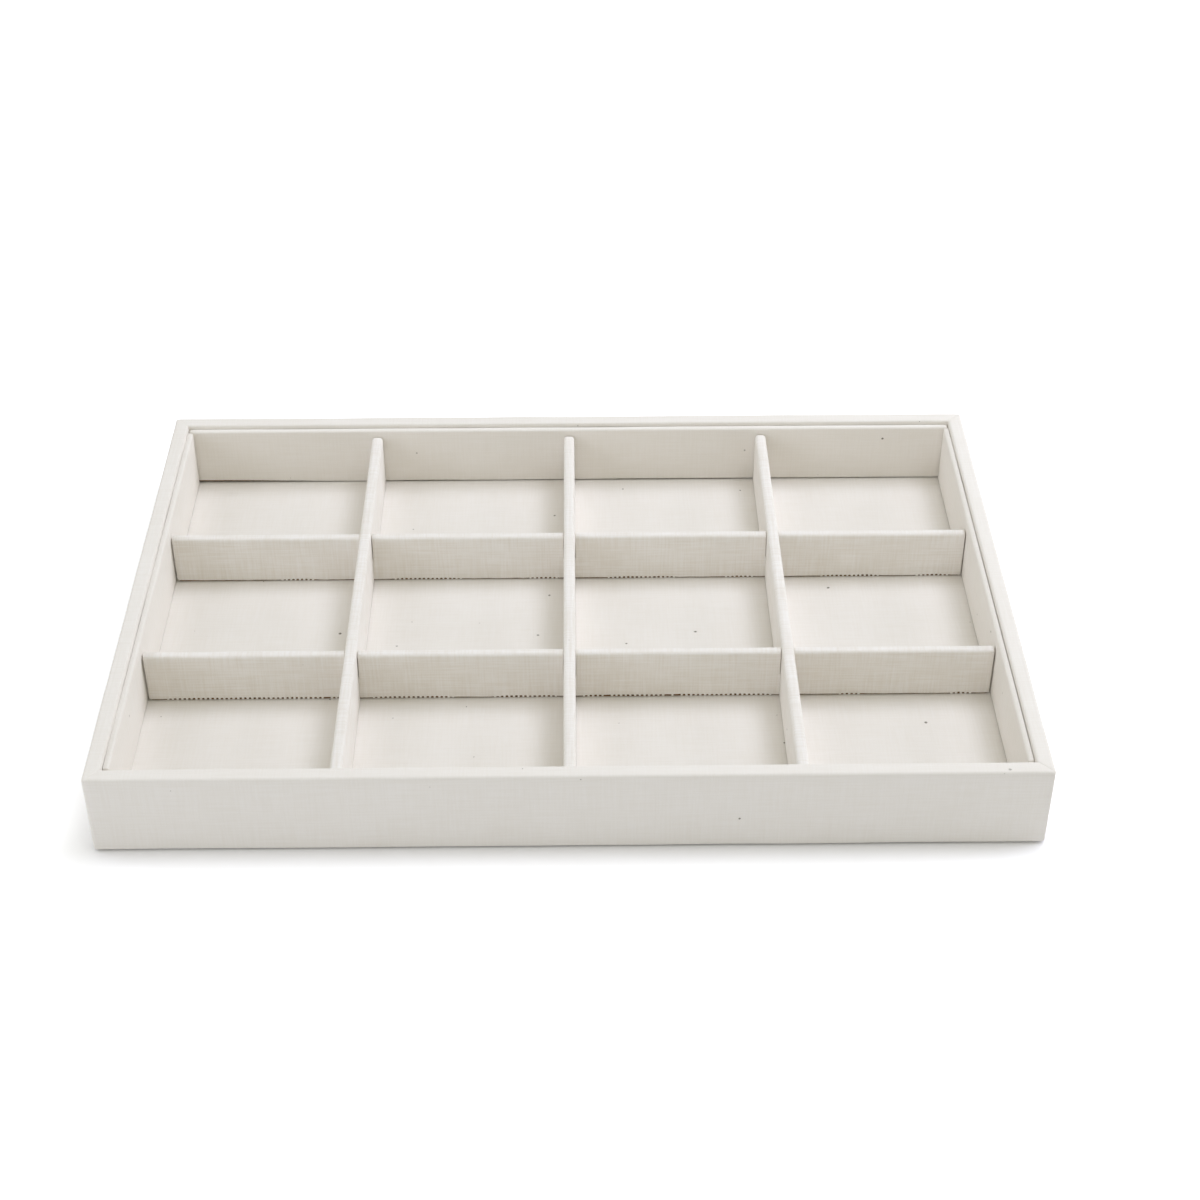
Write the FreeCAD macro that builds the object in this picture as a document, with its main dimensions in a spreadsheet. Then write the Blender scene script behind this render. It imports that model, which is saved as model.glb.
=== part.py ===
import FreeCAD, Part
import os
import re
import Sketcher

# Driving sizes in millimetres.
SIZES = {
    # Outside of the finished tray.
    "tray_length": 350.0,
    "tray_width": 240.0,
    "tray_height": 35.0,
    # Stock: linen with its glue, boards and cards.
    "cloth": 0.5,
    "wall_board": 5.0,
    "base_board": 2.5,
    "floor_card": 2.0,
    "lining_card": 1.5,
    "long_divider_card": 3.6,
    "cross_divider_card": 3.0,
    "base_sheet": 0.5,
    # Joints of the wall boards and the base.
    "corner_rabbet": 2.5,
    "base_rabbet": 2.0,
    # Outer linen: rounding of its edges, and how far it turns in over the rim and under the base.
    "rim_edge_radius": 1.0,
    "wrap_turn_in": 15.0,
    "wrap_turn_under": 15.0,
    "base_sheet_inset": 3.0,
    # Linings: drop below the rim, seam to the wall, gap at the inside corners, rounding of the edges.
    "lining_drop": 2.0,
    "lining_gap": 0.3,
    "lining_corner_gap": 0.3,
    "lining_edge_radius": 0.8,
    "floor_gap": 0.3,
    # Dividers: the long ones stand higher than the cross ones, and their linen stops above the floor.
    "long_divider_height": 24.0,
    "cross_divider_height": 22.0,
    "divider_edge_radius": 1.5,
    "divider_end_gap": 0.6,
    "slot_clearance": 0.3,
    "fray_gap": 0.3,
    # Distance that a cut runs past the face it opens.
    "overrun": 1.0,
}

# Sizes that follow from the driving ones. Reaches are measured from the middle of the tray.
DERIVED = {
    "rim": "wall_board + 2 * cloth",
    "outer_length_reach": "tray_length / 2",
    "outer_width_reach": "tray_width / 2",
    "board_length_reach": "outer_length_reach - cloth",
    "board_width_reach": "outer_width_reach - cloth",
    "room_length_reach": "outer_length_reach - rim",
    "room_width_reach": "outer_width_reach - rim",
    "board_low": "base_sheet + cloth",
    "board_high": "tray_height - cloth",
    "base_high": "board_low + base_board",
    "floor_card_high": "base_high + floor_card",
    "floor_top": "floor_card_high + cloth",
    "lining": "lining_card + cloth",
    "lining_top": "tray_height - lining_drop",
    "lining_length_reach": "room_length_reach - lining_gap",
    "lining_width_reach": "room_width_reach - lining_gap",
    "cell_length_reach": "lining_length_reach - lining",
    "cell_width_reach": "lining_width_reach - lining",
    "long_divider": "long_divider_card + 2 * cloth",
    "cross_divider": "cross_divider_card + 2 * cloth",
    "long_divider_top": "floor_top + long_divider_height",
    "cross_divider_top": "floor_top + cross_divider_height",
    "lap_level": "floor_top + cross_divider_height / 2",
    "long_slot_reach": "cross_divider / 2 + slot_clearance",
    "cross_slot_reach": "long_divider / 2 + slot_clearance",
}

# Places of the dividers, as shares of the reach from the middle of the tray to the linings.
LONG_DIVIDER_SHARE = 0.511
CROSS_DIVIDER_SHARE = 0.35
LONG_DIVIDERS = {"left": -LONG_DIVIDER_SHARE, "middle": 0, "right": LONG_DIVIDER_SHARE}
CROSS_DIVIDERS = {"front": -CROSS_DIVIDER_SHARE, "rear": CROSS_DIVIDER_SHARE}

# Opposite walls and linings are one shape, turned half round.
HALF_TURN_DEGREES = 180
LONG_SIDES = {"front": 0, "back": HALF_TURN_DEGREES}
SHORT_SIDES = {"left": 0, "right": HALF_TURN_DEGREES}

UP = FreeCAD.Vector(0, 0, 1)
SAME_LEVEL = 1e-6

doc = FreeCAD.newDocument("jewelry_tray")
nodes = []


def make_sheet():
    """Writes the driving sizes into the spreadsheet, one named cell each."""
    sheet = doc.addObject("Spreadsheet::Sheet", "Sizes")
    for row, (alias, value) in enumerate(SIZES.items(), start=1):
        sheet.set(f"A{row}", alias)
        sheet.set(f"B{row}", str(value))
        sheet.setAlias(f"B{row}", alias)
    doc.recompute()


def formula(text):
    """Turns a sum of named sizes into an expression on the spreadsheet's cells."""

    def cell(match):
        word = match.group(0)
        if word in DERIVED:
            return f"({formula(DERIVED[word])})"
        return f"Sizes.{word}" if word in SIZES else word

    return re.sub(r"[a-z][a-z_]*", cell, text)


def reach(size):
    """Gives the two ends of a length that is centred on the tray."""
    return f"-({size})", size


def around(share, along, half):
    """Gives the two ends of a length centred on a share of a reach."""
    return f"{share} * {along} - ({half})", f"{share} * {along} + ({half})"


def make_body(label, turn=0):
    """Starts a solid in the tray's frame, turned about the upright axis."""
    body = doc.addObject("PartDesign::Body", label)
    body.Label = label
    body.Placement = FreeCAD.Placement(FreeCAD.Vector(), FreeCAD.Rotation(UP, turn))
    return body


def draw_rectangle(sketch, name, x_ends, y_ends):
    """Draws a rectangle whose four sides are placed by formulas."""
    corners = [FreeCAD.Vector(x, y, 0) for x, y in ((0, 0), (1, 0), (1, 1), (0, 1))]
    lines = [Part.LineSegment(corners[i], corners[(i + 1) % 4]) for i in range(4)]
    south, east, north, west = sketch.addGeometry(lines)
    for first, second in ((south, east), (east, north), (north, west), (west, south)):
        sketch.addConstraint(Sketcher.Constraint("Coincident", first, 2, second, 1))
    for side in (south, north):
        sketch.addConstraint(Sketcher.Constraint("Horizontal", side))
    for side in (east, west):
        sketch.addConstraint(Sketcher.Constraint("Vertical", side))
    places = (("DistanceX", south, 0, x_ends[0]), ("DistanceX", north, 1, x_ends[1]),
              ("DistanceY", south, 0, y_ends[0]), ("DistanceY", north, 1, y_ends[1]))
    for number, (kind, side, start, place) in enumerate(places):
        index = sketch.addConstraint(Sketcher.Constraint(kind, -1, 1, side, 1, start))
        sketch.renameConstraint(index, f"{name}_{number}")
        sketch.setExpression(f"Constraints.{name}_{number}", formula(place))


def draw_section(body, name, low, rectangles):
    """Draws rectangles on a level plane of a body."""
    sketch = body.newObject("Sketcher::SketchObject", f"{name}_sketch")
    plane = next(item for item in body.Origin.OriginFeatures if item.Role == "XY_Plane")
    sketch.AttachmentSupport = [(plane, "")]
    sketch.MapMode = "FlatFace"
    sketch.setExpression("AttachmentOffset.Base.z", formula(low))
    for number, (x_ends, y_ends) in enumerate(rectangles):
        draw_rectangle(sketch, f"side_{number}", x_ends, y_ends)
    doc.recompute()
    return sketch


def add_block(body, name, x_ends, y_ends, z_ends):
    """Adds a block between formulas for its two ends along each axis."""
    pad = body.newObject("PartDesign::Pad", name)
    pad.Profile = draw_section(body, name, z_ends[0], [(x_ends, y_ends)])
    pad.setExpression("Length", formula(f"{z_ends[1]} - ({z_ends[0]})"))
    doc.recompute()


def cut_upwards(body, name, rectangles, z_ends):
    """Cuts the room over the given rectangles, or between two nested ones, from one level up to another."""
    before = body.Shape.Volume
    pocket = body.newObject("PartDesign::Pocket", name)
    pocket.Profile = draw_section(body, name, z_ends[0], rectangles)
    pocket.Reversed = True
    pocket.setExpression("Length", formula(f"{z_ends[1]} - ({z_ends[0]})"))
    doc.recompute()
    if not body.Shape.Volume < before:
        raise RuntimeError(f"{body.Label}: {name} cuts nothing")


def round_edges(body, name, radius, chosen):
    """Rounds the edges of a body that the test picks."""
    base = body.Tip
    edges = [f"Edge{number}" for number, edge in enumerate(base.Shape.Edges, start=1) if chosen(edge)]
    fillet = body.newObject("PartDesign::Fillet", name)
    fillet.Base = (base, edges)
    fillet.setExpression("Radius", formula(radius))
    doc.recompute()


def away_from(body, *sides):
    """Picks the edges of a block that lie in none of the named sides of its box."""
    box = body.Tip.Shape.BoundBox

    def chosen(edge):
        distance = {"bottom": edge.BoundBox.ZMax - box.ZMin,
                    "front": edge.BoundBox.YMax - box.YMin,
                    "left": edge.BoundBox.XMax - box.XMin}
        return all(distance[side] > SAME_LEVEL for side in sides)

    return chosen


def make_long_wall(side, turn):
    """Front or back wall board, with a rabbet at each end for a side board and one below for the base."""
    body = make_body(f"{side}_wall_board", turn)
    outer, inner = "-board_width_reach", "-board_width_reach + wall_board"
    levels = ("board_low", "board_high")
    add_block(body, "board", reach("board_length_reach"), (outer, inner), levels)
    lip = (f"{inner} - corner_rabbet", f"{inner} + overrun")
    ends = (("-board_length_reach - overrun", "-board_length_reach + wall_board"),
            ("board_length_reach - wall_board", "board_length_reach + overrun"))
    past = ("board_low - overrun", "board_high + overrun")
    for name, x_ends in zip(("left_rabbet", "right_rabbet"), ends):
        cut_upwards(body, name, [(x_ends, lip)], past)
    step = (f"{inner} - base_rabbet", f"{inner} + overrun")
    cut_upwards(body, "base_rabbet", [(reach("board_length_reach + overrun"), step)],
                ("board_low - overrun", "base_high"))
    nodes.append(body)


def make_short_wall(side, turn):
    """Left or right wall board, between the rabbets of the long walls, with a rabbet for the base."""
    body = make_body(f"{side}_wall_board", turn)
    outer, inner = "-board_length_reach", "-board_length_reach + wall_board"
    width = "board_width_reach - wall_board + corner_rabbet"
    add_block(body, "board", (outer, inner), reach(width), ("board_low", "board_high"))
    step = (f"{inner} - base_rabbet", f"{inner} + overrun")
    cut_upwards(body, "base_rabbet", [(step, reach(f"{width} + overrun"))],
                ("board_low - overrun", "base_high"))
    nodes.append(body)


def make_base():
    """Base board, its edge seated in the rabbets of the four walls."""
    body = make_body("base_board")
    add_block(body, "board", reach("board_length_reach - wall_board + base_rabbet"),
              reach("board_width_reach - wall_board + base_rabbet"), ("board_low", "base_high"))
    nodes.append(body)


def make_outer_wrap():
    """Outer linen: over the walls' outside and rim, down inside them and in under the base."""
    body = make_body("outer_wrap")
    add_block(body, "blank", reach("outer_length_reach"), reach("outer_width_reach"),
              ("base_sheet", "tray_height"))
    radius = "min(rim_edge_radius; 2 * cloth)"
    round_edges(body, "outer_edges", radius, lambda edge: True)
    cut_upwards(body, "room", [(reach("room_length_reach"), reach("room_width_reach"))],
                ("board_low", "tray_height + overrun"))
    box = body.Tip.Shape.BoundBox
    wall = SIZES["wall_board"] + SIZES["cloth"]

    def at_inner_rim(edge):
        middle = edge.CenterOfMass
        inside = box.XMin + wall < middle.x < box.XMax - wall and box.YMin + wall < middle.y < box.YMax - wall
        return inside and edge.BoundBox.ZMin > box.ZMax - SAME_LEVEL

    round_edges(body, "inner_rim_edges", radius, at_inner_rim)
    board = (reach("board_length_reach"), reach("board_width_reach"))
    inside = (reach("board_length_reach - wall_board"), reach("board_width_reach - wall_board"))
    cut_upwards(body, "below_the_turn_in", [board], ("board_low", "tray_height - wrap_turn_in"))
    cut_upwards(body, "round_the_boards", [board, inside], ("tray_height - wrap_turn_in", "board_high"))
    middle = (reach("outer_length_reach - wrap_turn_under"), reach("outer_width_reach - wrap_turn_under"))
    cut_upwards(body, "open_underside", [middle], ("base_sheet - overrun", "board_low + overrun"))
    nodes.append(body)


def make_base_sheet():
    """Sheet under the tray that covers the turned-in edges of the outer linen."""
    body = make_body("base_sheet")
    add_block(body, "sheet", reach("outer_length_reach - base_sheet_inset"),
              reach("outer_width_reach - base_sheet_inset"), ("0", "base_sheet"))
    nodes.append(body)


def cover(name, blank, card):
    """Keeps the card, and the linen that is left between it and the blank of the covered piece."""
    cloth = doc.addObject("Part::Cut", f"{name}_cloth")
    cloth.Label = f"{name}_cloth"
    cloth.Base = blank
    cloth.Tool = card
    doc.recompute()
    nodes.extend((card, cloth))


def make_floor():
    """Floor card on the base board, and the linen over its top and edges."""
    length, width = "room_length_reach - floor_gap", "room_width_reach - floor_gap"
    blank = make_body("floor_blank")
    add_block(blank, "blank", reach(length), reach(width), ("base_high", "floor_top"))
    card = make_body("floor_card")
    add_block(card, "card", reach(f"{length} - cloth"), reach(f"{width} - cloth"),
              ("base_high", "floor_card_high"))
    cover("floor", blank, card)


def make_lining(side, turn, back, blank_ends, card_ends):
    """Lining card on the floor, with linen on its face and edges and its back bare towards the wall."""
    blank = make_body(f"{side}_lining_blank", turn)
    add_block(blank, "blank", *blank_ends, ("floor_top", "lining_top"))
    round_edges(blank, "edges", "min(lining_edge_radius; 2 * cloth)", away_from(blank, "bottom", back))
    card = make_body(f"{side}_lining_card", turn)
    add_block(card, "card", *card_ends, ("floor_top + cloth", "lining_top - cloth"))
    cover(f"{side}_lining", blank, card)


def make_linings():
    """Front and back linings over the full length, and side linings between them."""
    length, width = "lining_length_reach", "cell_width_reach - lining_corner_gap"
    for side, turn in LONG_SIDES.items():
        back = "-lining_width_reach"
        make_lining(side, turn, "front", (reach(length), (back, f"{back} + lining")),
                    (reach(f"{length} - cloth"), (back, f"{back} + lining_card")))
    for side, turn in SHORT_SIDES.items():
        back = "-lining_length_reach"
        make_lining(side, turn, "left", ((back, f"{back} + lining"), reach(width)),
                    ((back, f"{back} + lining_card"), reach(f"{width} - cloth")))


def up_to_top(body):
    """Picks the edges of a body that lie in its top or rise to it."""
    top = body.Tip.Shape.BoundBox.ZMax
    return lambda edge: edge.BoundBox.ZMax > top - SAME_LEVEL


def make_divider(side, kind, place, half_length, slots):
    """Divider card on the floor with linen over its faces, top, ends and half laps.

    kind names the sizes of the long or the cross dividers. place turns a half thickness and a half length
    into the ends along X and Y. slots gives the rectangles and the levels of the half laps, which a margin
    makes wider and deeper.
    """
    name = f"{side}_{kind}"
    pieces = (("blank", f"{kind} / 2", half_length, "floor_top + fray_gap", f"{kind}_top",
               "divider_edge_radius", "0"),
              ("card", f"{kind}_card / 2", f"{half_length} - cloth", "floor_top", f"{kind}_top - cloth",
               "divider_edge_radius - cloth", "cloth"))
    made = []
    for layer, half_thickness, half, low, high, radius, margin in pieces:
        body = make_body(f"{name}_{layer}")
        x_ends, y_ends = place(half_thickness, half)
        add_block(body, layer, x_ends, y_ends, (low, high))
        cut_upwards(body, "slots", *slots(margin))
        round_edges(body, "edges", radius, up_to_top(body))
        made.append(body)
    cover(name, *made)


def make_long_dividers():
    """Dividers from front to back, with slots that face down over the cross dividers."""

    def slots(margin):
        through = reach("cell_length_reach")
        laps = [(through, around(share, "cell_width_reach", f"long_slot_reach + {margin}"))
                for share in CROSS_DIVIDERS.values()]
        return laps, ("floor_top - overrun", f"lap_level + slot_clearance + {margin}")

    for side, share in LONG_DIVIDERS.items():
        make_divider(side, "long_divider",
                     lambda thick, half: (around(share, "cell_length_reach", thick), reach(half)),
                     "cell_width_reach - divider_end_gap", slots)


def make_cross_dividers():
    """Dividers from left to right, with slots that face up under the long dividers."""

    def slots(margin):
        through = reach("cell_width_reach")
        laps = [(around(share, "cell_length_reach", f"cross_slot_reach + {margin}"), through)
                for share in LONG_DIVIDERS.values()]
        return laps, (f"lap_level - slot_clearance - {margin}", "cross_divider_top + overrun")

    for side, share in CROSS_DIVIDERS.items():
        make_divider(side, "cross_divider",
                     lambda thick, half: (reach(half), around(share, "cell_width_reach", thick)),
                     "cell_length_reach - divider_end_gap", slots)


def write_parts():
    """Checks the whole document, then writes one file for each node."""
    for item in doc.Objects:
        if "Invalid" in item.State or "Error" in item.State:
            raise RuntimeError(f"{item.Label} failed: {item.State}")
    for node in nodes:
        if node.Shape.isNull() or not node.Shape.isValid() or len(node.Shape.Solids) != 1:
            raise RuntimeError(f"{node.Label} isn't one valid solid")
    os.makedirs("parts", exist_ok=True)
    for node in nodes:
        node.Shape.exportStep(f"parts/{node.Label}.step")


make_sheet()
for wall_side, wall_turn in LONG_SIDES.items():
    make_long_wall(wall_side, wall_turn)
for wall_side, wall_turn in SHORT_SIDES.items():
    make_short_wall(wall_side, wall_turn)
make_base()
make_outer_wrap()
make_base_sheet()
make_floor()
make_linings()
make_long_dividers()
make_cross_dividers()
doc.recompute()
write_parts()
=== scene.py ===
import math
from collections import namedtuple

import bmesh
import bpy
from mathutils import Matrix, Vector, noise


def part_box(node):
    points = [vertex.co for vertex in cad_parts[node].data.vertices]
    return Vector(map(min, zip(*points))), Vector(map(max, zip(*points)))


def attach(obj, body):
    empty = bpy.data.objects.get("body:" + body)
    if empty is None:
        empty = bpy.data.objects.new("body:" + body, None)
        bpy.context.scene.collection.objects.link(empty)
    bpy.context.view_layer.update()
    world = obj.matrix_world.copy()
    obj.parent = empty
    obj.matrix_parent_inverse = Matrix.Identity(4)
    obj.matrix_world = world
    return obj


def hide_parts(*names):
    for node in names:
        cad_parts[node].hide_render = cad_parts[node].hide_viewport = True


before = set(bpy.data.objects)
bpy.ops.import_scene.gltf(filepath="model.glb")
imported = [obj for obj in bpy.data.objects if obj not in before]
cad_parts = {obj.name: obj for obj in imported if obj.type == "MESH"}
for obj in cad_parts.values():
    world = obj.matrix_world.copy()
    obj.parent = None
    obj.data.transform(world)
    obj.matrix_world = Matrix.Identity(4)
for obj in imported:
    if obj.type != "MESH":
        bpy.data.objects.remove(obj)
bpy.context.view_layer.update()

MM = 0.001
X, Y, Z = 0, 1, 2

# Places nearer than this count as one, and points nearer than the weld are merged.
NEAR = 0.02 * MM
WELD = 0.0001 * MM
# A face looks along an axis if this much of its normal does. A fold is sharp past this angle, in radians.
SQUARE_ON = 0.9
SHARP_FOLD = 1.0

# Linen as it lies on the boards and cards: its own thickness, without the glue.
LINEN_THICK = 0.35 * MM
FOLD_SEGMENTS = 5
SMALL_FOLD_SEGMENTS = 3
SMOOTH_ANGLE = math.radians(50)

LONG_SIDES = ("left", "middle", "right")
CROSS_SIDES = ("front", "rear")
LINING_SIDES = ("front", "back", "left", "right")
CROSS_BODY = "cross_dividers"


# Shaping by hand

def lay_tools_down():
    """Leaves edit mode with nothing selected."""
    if bpy.context.mode != "OBJECT":
        bpy.ops.object.mode_set(mode="OBJECT")
    bpy.ops.object.select_all(action="DESELECT")


def start_blank(name, low, high):
    """Adds a block between two corners and opens it for shaping."""
    lay_tools_down()
    bpy.ops.mesh.primitive_cube_add(size=1, location=(low + high) / 2, scale=high - low)
    blank = bpy.context.active_object
    blank.name = blank.data.name = name
    bpy.ops.object.transform_apply(location=True, rotation=True, scale=True)
    bpy.ops.object.mode_set(mode="EDIT")
    return blank


def pick(blank, kind, wanted):
    """Selects those vertices, edges or faces of a blank that the test wants."""
    bpy.ops.mesh.select_mode(type=kind)
    bpy.ops.mesh.select_all(action="DESELECT")
    shape = bmesh.from_edit_mesh(blank.data)
    shape.normal_update()
    for part in {"VERT": shape.verts, "EDGE": shape.edges, "FACE": shape.faces}[kind]:
        if wanted(part):
            part.select_set(True)
    bmesh.update_edit_mesh(blank.data)


def cut_off(blank, wanted):
    """Deletes the faces that the test wants."""
    pick(blank, "FACE", wanted)
    bpy.ops.mesh.delete(type="FACE")


def score(axis, places):
    """Cuts straight lines across the whole blank at places along an axis."""
    across = Vector([float(number == axis) for number in range(3)])
    for place in places:
        bpy.ops.mesh.select_all(action="SELECT")
        bpy.ops.mesh.bisect(plane_co=across * place, plane_no=across, threshold=WELD)


def spaced(low, high, pitch):
    """Places between two ends, about a pitch apart."""
    count = max(1, round((high - low) / pitch))
    return [low + (high - low) * step / count for step in range(1, count)]


def turn_outwards():
    """Merges the points that meet and turns all faces outwards."""
    bpy.ops.mesh.select_all(action="SELECT")
    bpy.ops.mesh.remove_doubles(threshold=WELD)
    bpy.ops.mesh.normals_make_consistent(inside=False)


def round_folds(blank, radius, wanted, segments=FOLD_SEGMENTS):
    """Rounds the sharp outward folds that the test wants."""
    def sharp(edge):
        folded = len(edge.link_faces) == 2 and edge.is_convex and edge.calc_face_angle() > SHARP_FOLD
        return folded and wanted(edge)

    pick(blank, "EDGE", sharp)
    bpy.ops.mesh.bevel(offset=radius, offset_type="OFFSET", segments=segments, profile=0.5, affect="EDGES")


def facing(axis, sign, place=None):
    """A test for faces that look along an axis, at a place on it if one is given."""
    def test(face):
        there = place is None or abs(face.calc_center_median()[axis] - place) < NEAR
        return there and face.normal[axis] * sign > SQUARE_ON
    return test


def ends_of(edge, axis):
    """The lowest and highest place of an edge along an axis."""
    return sorted(vertex.co[axis] for vertex in edge.verts)


def square_to(edge, axis):
    """Whether both ends of an edge lie at one place along an axis."""
    low, high = ends_of(edge, axis)
    return high - low < NEAR


def lies_at(edge, axis, place):
    """Whether an edge lies at a place along an axis."""
    return all(abs(vertex.co[axis] - place) < NEAR for vertex in edge.verts)


def finish_with(piece, kind, **settings):
    """Adds a modifier to the piece and applies it."""
    modifier = piece.modifiers.new(kind.lower(), kind)
    for name, value in settings.items():
        setattr(modifier, name, value)
    bpy.ops.object.modifier_apply(modifier=modifier.name)


def dress(piece, material):
    """Gives a piece its one material."""
    piece.data.materials.clear()
    piece.data.materials.append(material)


# Shift of the weave for each metre between pieces, and from one side of a piece to the other.
PIECE_SHIFT = 7.3
SIDE_SHIFT = 0.43


def lay_weave(piece):
    """Lays the flat coordinates of the weave on every face, in metres, shifted so that no two sides match."""
    shape = bmesh.from_edit_mesh(piece.data)
    for old in list(shape.loops.layers.uv):
        shape.loops.layers.uv.remove(old)
    flat = shape.loops.layers.uv.new("weave")
    piece_shift = 0
    for axis in (X, Y):
        places = [vertex.co[axis] for vertex in shape.verts]
        piece_shift += PIECE_SHIFT * (min(places) + max(places)) / 2
    for face in shape.faces:
        side = max(range(3), key=lambda axis: abs(face.normal[axis]))
        along, across = ((Y, Z), (X, Z), (X, Y))[side]
        shift = piece_shift + (SIDE_SHIFT if face.normal[side] > 0 else 0)
        for loop in face.loops:
            loop[flat].uv = (loop.vert.co[along] + shift, loop.vert.co[across])
    bmesh.update_edit_mesh(piece.data)


def slack(name, size):
    """A soft cloud that makes cloth lie a little unevenly."""
    cloud = bpy.data.textures.new(name, "CLOUDS")
    cloud.noise_scale = size
    cloud.noise_depth = 1
    return cloud


SLACKS = (slack("broad_slack", 45 * MM), slack("fine_slack", 9 * MM))
# The grey of a cloud that leaves the cloth where it is; lighter greys lift it.
LEVEL_SLACK = 0.42
# Depths of the broad and the fine unevenness.
OUTER_SLACK = (0.32 * MM, 0.08 * MM)
INNER_SLACK = (0.25 * MM, 0.06 * MM)
DIVIDER_SLACK = (0.14 * MM, 0.06 * MM)
NO_SLACK = (0, 0)


def finish_linen(piece, material, depths):
    """Lets the linen lie unevenly, mostly outwards, gives it thickness, lays its weave and dresses it."""
    if bpy.context.mode != "OBJECT":
        bpy.ops.object.mode_set(mode="OBJECT")
    for cloud, depth in zip(SLACKS, depths):
        if depth:
            finish_with(piece, "DISPLACE", texture=cloud, texture_coords="LOCAL", strength=depth,
                        mid_level=LEVEL_SLACK)
    finish_with(piece, "SOLIDIFY", thickness=LINEN_THICK, offset=-1, use_even_offset=True)
    bpy.ops.object.mode_set(mode="EDIT")
    bpy.ops.mesh.select_all(action="SELECT")
    lay_weave(piece)
    bpy.ops.object.mode_set(mode="OBJECT")
    bpy.ops.object.shade_smooth_by_angle(angle=SMOOTH_ANGLE)
    dress(piece, material)


# Building shader nodes

def new_group(name, inputs, outputs):
    """Starts a shader node group with named sockets."""
    group = bpy.data.node_groups.new(name, "ShaderNodeTree")
    for label, kind in inputs:
        group.interface.new_socket(label, in_out="INPUT", socket_type=kind)
    for label in outputs:
        group.interface.new_socket(label, in_out="OUTPUT", socket_type="NodeSocketFloat")
    return group


def add_node(tree, kind, label="", **settings):
    """Adds a labelled node with its settings."""
    node = tree.nodes.new(kind)
    node.label = label
    for name, value in settings.items():
        setattr(node, name, value)
    return node


def plug(tree, value, socket):
    """Feeds a socket from another one, or sets it."""
    if hasattr(value, "is_linked"):
        tree.links.new(value, socket)
    else:
        socket.default_value = value


def sum_node(tree, operation, *values, label=""):
    """A math node fed with sockets or numbers."""
    node = add_node(tree, "ShaderNodeMath", label, operation=operation)
    for socket, value in zip(node.inputs, values):
        plug(tree, value, socket)
    return node.outputs[0]


def stretched(tree, vector, scale):
    """A vector stretched by a scale along each axis."""
    node = add_node(tree, "ShaderNodeVectorMath", operation="MULTIPLY")
    plug(tree, vector, node.inputs[0])
    node.inputs[1].default_value = scale
    return node.outputs[0]


def cloud_node(tree, vector, scale, detail, label):
    """Soft noise over the surface."""
    node = add_node(tree, "ShaderNodeTexNoise", label)
    plug(tree, vector, node.inputs["Vector"])
    node.inputs["Scale"].default_value = scale
    node.inputs["Detail"].default_value = detail
    return node.outputs["Fac"]


def spread(tree, value, low, high, new_low=0.0, new_high=1.0):
    """Maps a range of values to another, smoothly and clamped."""
    node = add_node(tree, "ShaderNodeMapRange", interpolation_type="SMOOTHSTEP")
    for socket, number in zip(node.inputs, (value, low, high, new_low, new_high)):
        plug(tree, number, socket)
    return node.outputs[0]


def blend_colours(tree, factor, first, second, label=""):
    """Mixes two colours."""
    node = add_node(tree, "ShaderNodeMix", label, data_type="RGBA")
    plug(tree, factor, node.inputs["Factor"])
    plug(tree, first, [socket for socket in node.inputs if socket.name == "A" and socket.type == "RGBA"][0])
    plug(tree, second, [socket for socket in node.inputs if socket.name == "B" and socket.type == "RGBA"][0])
    return [socket for socket in node.outputs if socket.type == "RGBA"][0]


def add_bump(tree, skin, height, strength, depth):
    """Gives a shader's surface a fine relief."""
    bump = add_node(tree, "ShaderNodeBump")
    bump.inputs["Strength"].default_value = strength
    bump.inputs["Distance"].default_value = depth
    tree.links.new(height, bump.inputs["Height"])
    tree.links.new(bump.outputs[0], skin.inputs["Normal"])


def place_group(tree, group, **values):
    """Places a group in a material and feeds its sockets."""
    node = add_node(tree, "ShaderNodeGroup", node_tree=group)
    for name, value in values.items():
        plug(tree, value, node.inputs[name.replace("_", " ")])
    return node


def start_material(name):
    """A material with its tree and its Principled shader."""
    material = bpy.data.materials.new(name)
    material.use_nodes = True
    tree = material.node_tree
    return material, tree, tree.nodes["Principled BSDF"]


def srgb(red, green, blue):
    """A colour written in display values from 0 to 255."""
    def linear(value):
        value /= 255
        return value / 12.92 if value <= 0.04045 else ((value + 0.055) / 1.055) ** 2.4
    return linear(red), linear(green), linear(blue), 1.0


# Weave and stray fibres

# Waves for each metre, across and along a thread: how it wanders and where it thickens.
WANDER_WAVES = (900, 90)
SLUB_WAVES = (1300, 60)
PATCH_WAVES = 38.0


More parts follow.
